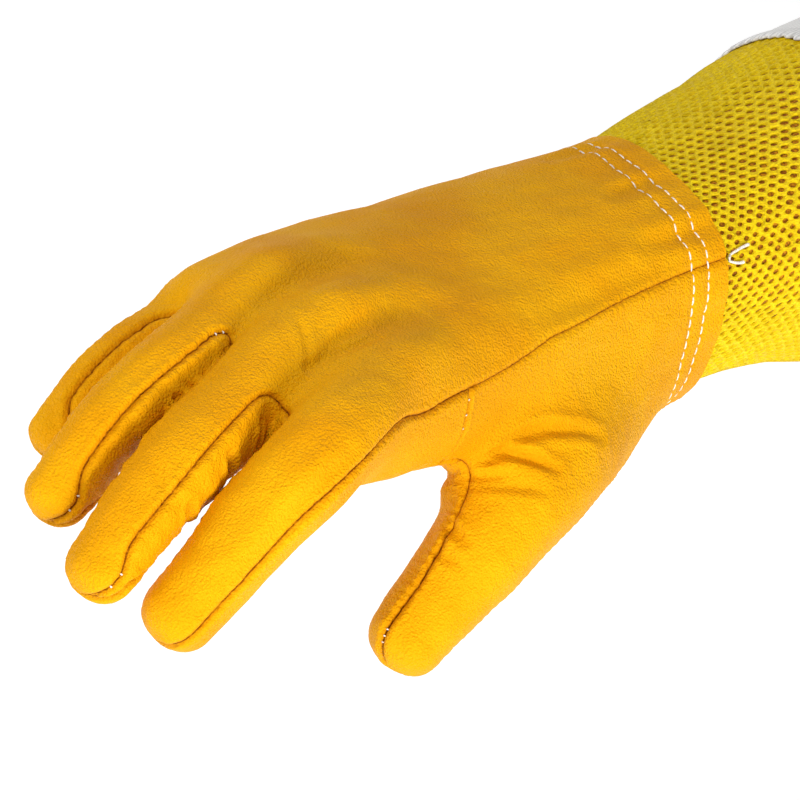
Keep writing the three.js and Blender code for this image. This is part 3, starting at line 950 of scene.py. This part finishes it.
def build_spacer_mesh(material):
    """The knitted outer face: rounded yarn between staggered oval holes."""
    columns = 2 * round(SLEEVE_ROUND / HOLE_ROUND / 2)
    rows = int((MESH_STOP - MESH_START) / HOLE_ALONG)
    near = (HOLE_ROUND**2 - HOLE_ALONG**2 / 4) / (2 * HOLE_ROUND)
    far = HOLE_ROUND - near
    half = HOLE_ALONG / 2
    corners = np.array([(0, far), (half, near), (half, -near), (0, -far), (-half, -near), (-half, near)])
    cell = np.stack([corners, (corners + np.roll(corners, -1, 0)) / 2], 1).reshape(-1, 2)
    turn = np.arctan2(cell[:, 1] / HOLE_HALF[1], cell[:, 0] / HOLE_HALF[0])
    hole = np.stack([np.cos(turn), np.sin(turn)], 1) * HOLE_HALF
    rng = np.random.default_rng(4)
    index = {}
    flat, depths, faces = [], [], []

    def point(x, column, depth):
        key = (round(x, 2), round(column, 2) % columns, depth)
        if key not in index:
            index[key] = len(flat)
            flat.append((x, column / columns))
            depths.append(depth)
        return index[key]

    for column in range(columns):
        for row in range(rows):
            x = MESH_START + (row + 0.5 + 0.5 * (column % 2)) * HOLE_ALONG
            size = 1 + HOLE_UNEVEN * rng.standard_normal()
            opening = size * hole + HOLE_OFF_CENTRE * rng.standard_normal(2)
            narrower = opening - (1 - BASE_SHARE) * size * hole
            loops = [
                [point(x + px, column + py / HOLE_ROUND, depth) for px, py in outline]
                for outline, depth in zip((cell, opening, narrower), YARN_DEPTHS)
            ]
            for upper, lower in zip(loops, loops[1:]):
                for i in range(len(cell)):
                    j = (i + 1) % len(cell)
                    faces.append((upper[i], upper[j], lower[j], lower[i]))
    flat = np.array(flat)
    inset = MESH_INSET + np.array(depths) + sleeve_slack(flat[:, 0], flat[:, 1])
    obj = mesh_object("mesh_outer_face", on_sleeve(flat[:, 0], flat[:, 1], inset), faces)
    finish_piece(obj, material, "spacer_mesh", "mesh_outer_layer")


def build_sleeve(materials):
    build_spacer_mesh(materials["mesh"])
    lining = [(x, MESH_INSET + 1.35) for x in np.linspace(MESH_START + 1, MESH_STOP, 45)]
    lining += [(x, MESH_INSET + 2.1) for x in np.linspace(MESH_STOP, MESH_START + 1, 45)]
    obj = swept("mesh_lining", lining)
    finish_piece(obj, materials["lining"], "mesh_lining", "mesh_inner_layer")
    declare_cloth(MESH_START + 1, MESH_STOP, MESH_INSET + FABRIC)

    def gathered(x, share, inset):
        return x, inset + hem_gathers(x, share)

    along = np.concatenate([np.linspace(CANVAS_END, 30, 48), np.linspace(28, 1.2, 16)])
    canvas = [(x, CANVAS_INSET + 1.2) for x in along[::-1]]
    outside = [(x, CANVAS_INSET - 0.9 * ease((CANVAS_END - 10 - x) / 4)) for x in along]
    folded_in = [(0.3, 3.3), (0, 4.2), (0, 7), (0.4, 7.9), (1.4, 8.3)]
    turned = [(x, 8.3) for x in np.linspace(3, HEM, 12)] + [(x, 7.2) for x in np.linspace(HEM, 3, 12)]
    profile = outside + folded_in + turned + [(1.6, 6.8), (1.2, 5.6)] + canvas
    obj = swept("canvas_sleeve_cloth", profile, shape=gathered, steps=2 * ROUND_STEPS)
    finish_piece(obj, materials["canvas"], "canvas", "canvas_sleeve")
    declare_cloth(0, CANVAS_END, CANVAS_INSET, HEM)

    outer, inner = BAND_DEPTHS
    band = [(x, outer) for x in np.linspace(20, 4, 9)] + [(x, inner) for x in np.linspace(4, 20, 9)]
    obj = swept("elastic_in_hem", band, shape=gathered, steps=2 * ROUND_STEPS)
    finish_piece(obj, materials["elastic"], "elastic", "elastic_band")

    def scalloped(x, share, inset):
        wave = np.abs(np.sin(np.pi * share * SCALLOPS))
        reach = ease((x - 134) / 3)
        return x + SCALLOP_HEIGHT * wave * reach, inset - 0.2 * wave * reach

    edge = [(131.3, 2.3), (137, 2.1), (137.6, 1.6), (137, 1.1)]
    edge += [(136, 0.8), (134, 0.8), (132, 1.2), (131, 1.9)]
    obj = swept("mesh_edge_cord", edge, shape=scalloped, steps=6 * SCALLOPS)
    finish_piece(obj, materials["binding"], "binding", "mesh_edge_binding")

    obj = seam_bar("canvas_seam_inside", 30, CANVAS_END - 2, CANVAS_INSET + 1.4)
    finish_piece(obj, materials["canvas"], "canvas", "canvas_side_seam")
    obj = seam_bar("mesh_seam_inside", CANVAS_END + 2, 222, MESH_INSET + 2.3)
    finish_piece(obj, materials["binding"], "binding", "mesh_side_seam")


def seam_bar(name, start, stop, inset):
    """A narrow folded seam along the inside of the sleeve."""
    x = np.linspace(start, stop, SEAM_STEPS)
    section = [(-1, 0), (0, -0.1), (1, 0), (1.05, 0.5), (0.9, 1), (0, 1.25), (-0.9, 1), (-1.05, 0.5)]
    lines = []
    for across, depth in section:
        share = np.full(SEAM_STEPS, SEAM_SHARE + across * SEAM_HALF)
        lines.append(on_sleeve(x, share, inset + depth + sleeve_slack(x, share)))
    points = np.stack(lines, 1).reshape(-1, 3)
    return mesh_object(name, points, turned_over(tube_faces(SEAM_STEPS, len(section))))


# ---- stitches ----
STITCH = 3.0  # the thread seen in one stitch
STITCH_PITCH = 3.5
THREAD = 0.29  # half the thread's thickness
THREAD_SIDES = 8
STITCH_RINGS = 7  # rings of points along a stitch
STITCH_FLATNESS = 0.75  # a stitch is this much thinner than wide
STITCH_WAVER = 0.5  # how far a row wanders from its line
ROUND_ARM = 360  # steps round the arm that a row's length is measured in
OUTSIDE = 90  # from inside the arm to well outside the leather


def thread_ring(middle, across, up):
    """Points round a thread, from its two half widths."""
    turns = [2 * math.pi * k / THREAD_SIDES for k in range(THREAD_SIDES)]
    return [middle + across * math.cos(turn) + up * math.sin(turn) for turn in turns]


def capsule(start, end, radius, normal):
    """A stitch: a short thread that dips at both ends."""
    along = unit(end - start)
    across = unit(np.cross(normal, along))
    points = []
    for t in np.linspace(0, 1, STITCH_RINGS):
        swell = math.sqrt(max(1 - (2 * t - 1) ** 4, 0.02))
        middle = start + t * (end - start) + normal * radius * (0.9 * math.sin(math.pi * t) - 0.35)
        points += thread_ring(middle, radius * swell * across, radius * swell * STITCH_FLATNESS * normal)
    return points, tube_faces(STITCH_RINGS, THREAD_SIDES)


def joined(parts):
    """Many small meshes as one."""
    points, faces = [], []
    for part_points, part_faces in parts:
        base = len(points)
        points += list(part_points)
        faces += [tuple(base + i for i in face) for face in part_faces]
    return np.array(points), faces


def outside_point(tree, x, turn):
    """The leather's surface at X, in the direction of an angle round the arm."""
    i = np.searchsorted(ARM.centre[:, 0], x)
    centre, side, top = ARM.centre[i].copy(), ARM.side[i], ARM.top[i]
    centre[0] = x
    direction = side * math.cos(turn) + top * math.sin(turn)
    direction[0] = 0
    hit = tree.ray_cast(Vector(centre + OUTSIDE * direction), Vector(-direction))
    return np.array(hit[0]), np.array(hit[1])


def build_stitches(leather, material):
    """The two rows round the cuff, stitch by stitch, on the leather as it is folded."""
    tree = leather.tree()
    turns = np.linspace(0, 2 * math.pi, ROUND_ARM + 1)
    for name, (from_edge, node) in STITCH_ROWS.items():
        length = lengths_along([outside_point(tree, CUFF_EDGE + from_edge, turn)[0] for turn in turns])
        count = round(length[-1] / STITCH_PITCH)
        stitches = []
        for i in range(count):
            ends = []
            for place in (i / count, (i + STITCH / STITCH_PITCH) / count):
                turn = np.interp(place * length[-1], length, turns)
                waver = STITCH_WAVER * math.sin(3 * turn + from_edge)
                ends.append(outside_point(tree, CUFF_EDGE + from_edge + waver, turn))
            (start, start_normal), (end, end_normal) = ends
            stitches.append(capsule(start, end, THREAD, unit(start_normal + end_normal)))
        points, faces = joined(stitches)
        finish_piece(mesh_object(name, points, faces), material, "thread", node)


# White stitches that show in a seam, for each body: the limb, the places of the first and last, and how many.
SHOWN_STITCHES = {
    "hand": ("arm", (0.70, 14), (0.70, -10), 3),
    "knuckle_row": ("ring", (0.55, 60), (0.57, 60), 2),
    "thumb": ("thumb", (1.03, 120), (1.07, 120), 3),
    "middle": ("middle", (1.00, 42), (1.03, 42), 2),
    "ring": ("ring", (0.99, 45), (1.02, 45), 2),
    "little": ("little", (0.97, 60), (1.00, 60), 2),
}
SHOWN_HALF = 0.5  # half the length of thread that shows
SHOWN_RADIUS = 0.26


def build_seam_dots(leather, material):
    """The white stitches that show in a seam, each across the seam's nearest point."""
    places = leather.points[leather.seam_points]
    normals = leather.normals[leather.seam_points]
    for body, (limb, first, last, count) in SHOWN_STITCHES.items():
        shares, degrees = np.linspace(first, last, count).T
        stitches = []
        for spot in on_limb(limb, shares, degrees):
            i = np.argmin(np.linalg.norm(places - spot, axis=1))
            around = np.argsort(np.linalg.norm(places - places[i], axis=1))[1:6]
            along = unit(places[around[-1]] - places[i])
            across = unit(np.cross(normals[i], along))
            middle = places[i] + SHOWN_HALF * normals[i]
            start, end = middle - SHOWN_HALF * across, middle + SHOWN_HALF * across
            stitches.append(capsule(start, end, SHOWN_RADIUS, normals[i]))
        points, faces = joined(stitches)
        finish_piece(mesh_object(f"seam_stitches_{body}", points, faces), material, "thread", body=body)


# The loose ends of the cuff's seam thread, over the mesh: how far each runs back and drifts round.
TAILS = ((8.0, -0.012), (12.0, 0.006))
TAIL_DEGREES = 40  # round the sleeve, where the side seam ends
TAIL_LIFT = 0.5  # the thread's middle above what it lies on
TAIL_STEPS = 25
TAIL_RADIUS = (0.32, 0.5)  # at the seam, and at the frayed end


def build_thread_tails(material):
    parts = []
    for back, drift in TAILS:
        t = np.linspace(0, 1, TAIL_STEPS)
        share = np.interp(math.radians(TAIL_DEGREES), TURNS, SHARES) + drift * np.sin(0.5 * np.pi * t)
        x = CUFF_EDGE + 1 - back * t
        depth = MESH_INSET * ease(t / 0.3)
        rows = on_sleeve(x, share, depth + sleeve_slack(x, share) - TAIL_LIFT)
        along = unit(np.gradient(rows, axis=0))
        side = unit(np.cross(along, (0.3, 0.7, 0.6)))
        up = np.cross(along, side)
        radius = np.linspace(*TAIL_RADIUS, len(rows))[:, None]
        rings = [thread_ring(*three) for three in zip(rows, radius * side, radius * up)]
        parts.append((sum(rings, []), turned_over(tube_faces(len(rows), THREAD_SIDES))))
    points, faces = joined(parts)
    finish_piece(mesh_object("thread_tails", points, faces), material, "thread")


# ---- materials: colours are linear, pattern sizes in millimetres ----
class Nodes:
    """A material's nodes, with short calls for the ones used here."""

    def __init__(self, name, roughness, sheen=0.0, specular=0.4):
        self.material = bpy.data.materials.new(name)
        self.material.use_nodes = True
        self.tree = self.material.node_tree
        self.shader = self.tree.nodes["Principled BSDF"]
        self.shader.inputs["Roughness"].default_value = roughness
        self.shader.inputs["Sheen Weight"].default_value = sheen
        self.shader.inputs["Specular IOR Level"].default_value = specular
        self.rest = self.add("ShaderNodeAttribute", attribute_name="rest").outputs["Vector"]

    def add(self, kind, **settings):
        node = self.tree.nodes.new(kind)
        for name, value in settings.items():
            setattr(node, name, value)
        return node

    def feed(self, socket, value):
        if isinstance(value, bpy.types.NodeSocket):
            self.tree.links.new(value, socket)
        else:
            socket.default_value = value

    def math(self, operation, a, b):
        node = self.add("ShaderNodeMath", operation=operation)
        self.feed(node.inputs[0], a)
        self.feed(node.inputs[1], b)
        return node.outputs[0]

    def scaled(self, factors):
        node = self.add("ShaderNodeVectorMath", operation="MULTIPLY")
        self.feed(node.inputs[0], self.rest)
        node.inputs[1].default_value = factors
        return node.outputs[0]

    def noise(self, size, detail=3.0, vector=None, roughness=0.55):
        node = self.add("ShaderNodeTexNoise")
        self.feed(node.inputs["Vector"], vector or self.rest)
        node.inputs["Scale"].default_value = 1 / size
        node.inputs["Detail"].default_value = detail
        node.inputs["Roughness"].default_value = roughness
        return node.outputs["Fac"]

    def cells(self, size):
        node = self.add("ShaderNodeTexVoronoi", feature="SMOOTH_F1")
        self.feed(node.inputs["Vector"], self.rest)
        node.inputs["Scale"].default_value = 1 / size
        return node.outputs["Distance"]

    def steps(self, value, low, high, start=0.0, end=1.0):
        """start below low, end above high, and smooth between."""
        node = self.add("ShaderNodeMapRange", interpolation_type="SMOOTHSTEP")
        for name, given in (("Value", value), ("From Min", low), ("From Max", high)):
            self.feed(node.inputs[name], given)
        self.feed(node.inputs["To Min"], start)
        self.feed(node.inputs["To Max"], end)
        return node.outputs["Result"]

    def mix(self, share, a, b):
        node = self.add("ShaderNodeMix", data_type="RGBA")
        self.feed(node.inputs["Factor"], share)
        for socket, colour in ((node.inputs[6], a), (node.inputs[7], b)):
            self.feed(socket, (*colour, 1.0) if isinstance(colour, tuple) else colour)
        return node.outputs[2]

    def bump(self, height, depth, strength=1.0):
        """Depth in millimetres for a height of one."""
        node = self.add("ShaderNodeBump")
        node.inputs["Strength"].default_value = strength
        node.inputs["Distance"].default_value = depth * MM
        self.feed(node.inputs["Height"], height)
        return node.outputs["Normal"]

    def done(self, colour, normal, roughness=None):
        self.feed(self.shader.inputs["Base Color"], colour)
        self.feed(self.shader.inputs["Normal"], normal)
        if roughness is not None:
            self.feed(self.shader.inputs["Roughness"], roughness)
        return self.material


PEBBLE = 0.65  # one pebble of the goatskin's grain
GOLD = (0.88, 0.46, 0.003)
DEEP_GOLD = (0.78, 0.34, 0.001)
GRAIN_DARK = (0.56, 0.21, 0.001)
SEAM_BROWN = (0.22, 0.055, 0.002)
SEAM_ORANGE = (0.52, 0.18, 0.002)
YARN = (0.88, 0.66, 0.004)
YARN_SHADE = (0.62, 0.40, 0.002)
# The lining's two colours are painted darker than the yarn: painted shade for the depth of the mesh's holes.
LINING_BROWN_PAINTED_SHADE = (0.26, 0.08, 0.001)
LINING_GOLD_PAINTED_SHADE = (0.56, 0.24, 0.002)
COTTON = (0.78, 0.77, 0.75)
COTTON_SHADE = (0.56, 0.55, 0.54)
CREAM = (0.86, 0.82, 0.74)
CREAM_SHADE = (0.58, 0.50, 0.40)


def leather_material():
    n = Nodes("golden_goatskin", roughness=0.5, specular=0.16)
    n.shader.inputs["Specular Tint"].default_value = (1.0, 0.75, 0.12, 1.0)
    seam = n.add("ShaderNodeAttribute", attribute_name="seam").outputs["Fac"]
    drift = n.noise(9.0, 2.0)
    pebble = n.math("SUBTRACT", 0.9, n.cells(PEBBLE))
    wrinkles = n.noise(0.85, 4.0, n.scaled((0.5, 0.95, 0.95)), 0.62)
    height = n.math("ADD", n.math("MULTIPLY", pebble, 0.8), n.math("MULTIPLY", wrinkles, 0.5))
    normal = n.bump(height, 0.62, 1.0)
    base = n.mix(n.steps(n.noise(38.0, 3.0), 0.35, 0.7), GOLD, DEEP_GOLD)
    base = n.mix(n.steps(drift, 0.45, 0.75, 0.0, 0.35), base, DEEP_GOLD)
    base = n.mix(n.steps(height, 0.7, 1.15, 0.5, 0.0), base, GRAIN_DARK)
    base = n.mix(n.steps(seam, 0.4, 1.5, 0.5, 0.0), base, SEAM_ORANGE)
    broken = n.steps(n.noise(1.6, 1.0), 0.38, 0.55, 0.6, 1.0)
    line = n.math("MULTIPLY", n.steps(seam, 0.1, 0.46, 1.0, 0.0), broken)
    base = n.mix(line, base, SEAM_BROWN)
    rough = n.steps(height, 0.6, 1.2, 0.6, 0.47)
    return n.done(base, normal, rough)


def yarn_material():
    n = Nodes("yellow_spacer_yarn", roughness=0.55, specular=0.15)
    strands = n.noise(0.5, 3.0, n.scaled((0.35, 1.0, 1.0)), 0.7)
    base = n.mix(n.steps(strands, 0.35, 0.65), YARN_SHADE, YARN)
    base = n.mix(n.steps(n.noise(30.0, 2.0), 0.4, 0.7, 0.0, 0.3), base, YARN_SHADE)
    return n.done(base, n.bump(strands, 0.3, 0.8))


def lining_material():
    # The lining's loops are its own pattern. Its colours are darker than the yarn's, as painted shade seen
    # down the holes.
    n = Nodes("lining_with_painted_hole_shade", roughness=0.8, sheen=0.2, specular=0.2)
    loops = n.noise(0.9, 3.0)
    base = n.mix(n.steps(loops, 0.4, 0.6), LINING_BROWN_PAINTED_SHADE, LINING_GOLD_PAINTED_SHADE)
    return n.done(base, n.bump(loops, 0.4))


def woven_material(name, light, shade, rib, slant):
    """A white cloth with ribs: rib is their pitch in millimetres, and slant which way they lean."""
    n = Nodes(name, roughness=0.85, sheen=0.25, specular=0.2)
    wave = n.add("ShaderNodeTexWave", wave_type="BANDS", bands_direction="DIAGONAL")
    n.feed(wave.inputs["Vector"], n.scaled(slant))
    wave.inputs["Scale"].default_value = 0.31 / rib
    wave.inputs["Distortion"].default_value = 0.6
    wave.inputs["Detail"].default_value = 1.0
    fuzz = n.noise(0.6, 3.0)
    height = n.math("ADD", wave.outputs["Fac"], n.math("MULTIPLY", fuzz, 0.6))
    base = n.mix(n.steps(height, 0.3, 1.1), shade, light)
    base = n.mix(n.steps(n.noise(25.0, 2.0), 0.45, 0.75, 0.0, 0.35), base, shade)
    return n.done(base, n.bump(height, 0.22, 0.8))


def thread_material():
    n = Nodes("cream_thread", roughness=0.6, sheen=0.3, specular=0.3)
    twist = n.noise(0.35, 2.0, n.scaled((1.0, 0.5, 1.0)))
    base = n.mix(n.steps(twist, 0.35, 0.6), CREAM_SHADE, CREAM)
    return n.done(base, n.bump(twist, 0.15))


def make_materials():
    return {
        "leather": leather_material(),
        "mesh": yarn_material(),
        "lining": lining_material(),
        "canvas": woven_material("white_twill", COTTON, COTTON_SHADE, 1.5, (1.0, 1.0, 1.0)),
        "elastic": woven_material("ribbed_elastic", COTTON, COTTON_SHADE, 1.2, (1.4, 0.0, 0.0)),
        "binding": woven_material("white_edge_cord", COTTON, COTTON_SHADE, 0.9, (0.3, 1.0, 1.0)),
        "thread": thread_material(),
    }


# ---- camera, floor and light ----
AIM = (0.3258, 0.0184, -0.0238)  # the point in the middle of the picture
CAMERA_DISTANCE = 1.805
CAMERA_AZIMUTH = 37.1  # from +X towards +Y
CAMERA_ELEVATION = 31.9
CAMERA_ROLL = 22.9
LENS_MM = 274.0
FLOOR_Z = -0.3
FLOOR_GREY = 0.82
FLOOR_GLOW = 0.4
SKY = 0.34
# Each light: where it is from the glove, in metres, its size and its power in watts.
LIGHTS = {
    "key": ((0.5, 1.5, 0.25), 0.45, 26.0),
    "top": ((1.0, 0.1, 1.2), 0.8, 13.0),
    "rim": ((-0.6, -0.9, 0.9), 0.6, 3.0),
    "fill": ((1.2, -0.6, 0.1), 0.8, 4.0),
}


def matrix_from(right, up, back, place):
    m = np.eye(4)
    m[:3, 0], m[:3, 1], m[:3, 2], m[:3, 3] = right, up, back, place
    return Matrix(m.tolist())


def add_camera():
    camera = bpy.data.objects.new("camera", bpy.data.cameras.new("camera"))
    bpy.context.scene.collection.objects.link(camera)
    azimuth, elevation, roll = (math.radians(a) for a in (CAMERA_AZIMUTH, CAMERA_ELEVATION, CAMERA_ROLL))
    level = math.cos(elevation)
    back = np.array([math.cos(azimuth) * level, math.sin(azimuth) * level, math.sin(elevation)])
    right = unit(np.cross((0, 0, 1), back))
    up = np.cross(back, right)
    rolled_right = right * math.cos(roll) + up * math.sin(roll)
    rolled_up = up * math.cos(roll) - right * math.sin(roll)
    camera.matrix_world = matrix_from(rolled_right, rolled_up, back, np.array(AIM) + CAMERA_DISTANCE * back)
    camera.data.lens = LENS_MM
    camera.data.sensor_width = 36
    camera.data.clip_end = 30
    bpy.context.scene.camera = camera


def add_lights():
    lamps = []
    for name, (offset, size, power) in LIGHTS.items():
        lamp = bpy.data.objects.new(name, bpy.data.lights.new(name, "AREA"))
        lamp.data.shape = "DISK"
        lamp.data.size = size
        lamp.data.energy = power
        place = np.array(AIM) + offset
        back = unit(np.array(offset))
        right = unit(np.cross((0.1, 0.2, 1), back))
        lamp.matrix_world = matrix_from(right, np.cross(back, right), back, place)
        bpy.context.scene.collection.objects.link(lamp)
        lamps.append(lamp)
    world = bpy.data.worlds.new("studio")
    world.use_nodes = True
    sky = world.node_tree.nodes["Background"]
    sky.inputs["Color"].default_value = (1.0, 1.0, 1.0, 1.0)
    sky.inputs["Strength"].default_value = SKY
    bpy.context.scene.world = world
    return lamps


def add_floor():
    corners = [(-6, -6, FLOOR_Z), (6, -6, FLOOR_Z), (6, 6, FLOOR_Z), (-6, 6, FLOOR_Z)]
    floor = mesh_object("floor", np.array(corners) / MM, [(0, 1, 2, 3)])
    n = Nodes("pale_floor", roughness=0.7, specular=0.1)
    mottle = n.noise(700.0, 2.0)
    pale = (FLOOR_GREY, FLOOR_GREY, FLOOR_GREY)
    light = (FLOOR_GREY + 0.02, FLOOR_GREY + 0.02, FLOOR_GREY + 0.02)
    n.shader.inputs["Emission Color"].default_value = (1.0, 1.0, 1.0, 1.0)
    n.shader.inputs["Emission Strength"].default_value = FLOOR_GLOW
    floor.data.materials.append(n.done(n.mix(mottle, pale, light), n.bump(mottle, 0.1)))
    return floor


def main():
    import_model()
    bpy.context.scene.view_settings.view_transform = "Standard"
    add_camera()
    add_floor()
    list(add_lights())
    materials = make_materials()
    leather = Leather()
    build_leather(leather, materials["leather"])
    build_sleeve(materials)
    build_stitches(leather, materials["thread"])
    build_seam_dots(leather, materials["thread"])
    build_thread_tails(materials["thread"])


main()
